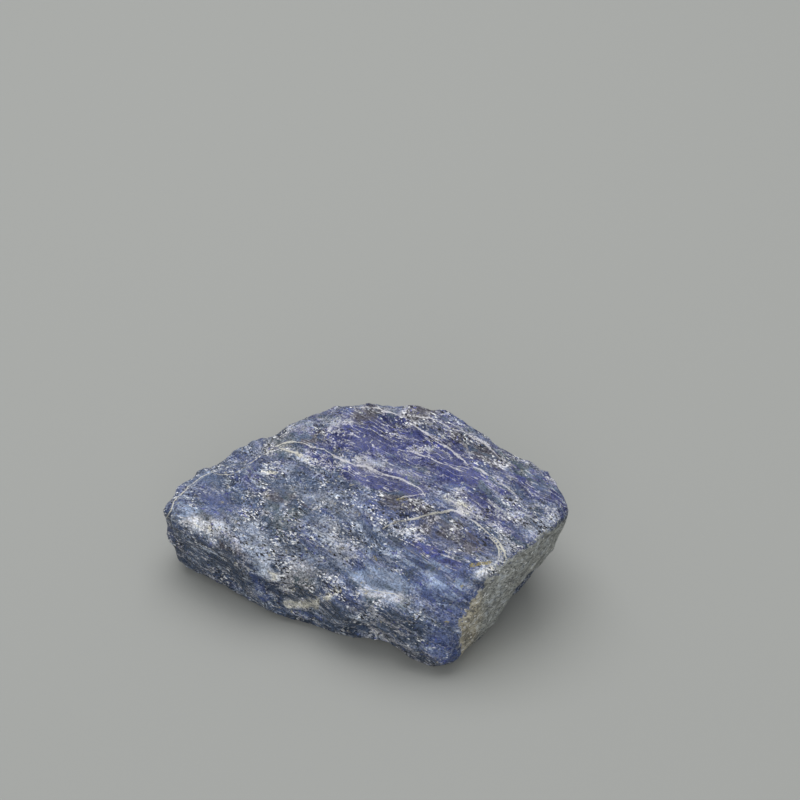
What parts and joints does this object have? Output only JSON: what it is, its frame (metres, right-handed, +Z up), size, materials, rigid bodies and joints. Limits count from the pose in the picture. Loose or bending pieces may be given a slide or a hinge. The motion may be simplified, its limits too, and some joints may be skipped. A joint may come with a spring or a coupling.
{
  "type": "raw sodalite stone",
  "caption": "Rough broken lump of blue sodalite with cream veins, a flat weathered break at its right end and a flat underside that it rests on.",
  "frame": {"origin": "under the middle of the stone's box, on the plane it rests on", "axes": "+X along the stone's longest way, from its thin left tip to its right tip; +Y from its low front brow to its high back; +Z up"},
  "size_m": [0.112, 0.079, 0.043],
  "materials": {
    "sodalite": "rough broken stone with glinting cleavage grains"
  },
  "bodies": {
    "root": {"sodalite_stone": "sodalite"}
  },
  "joints": []
}
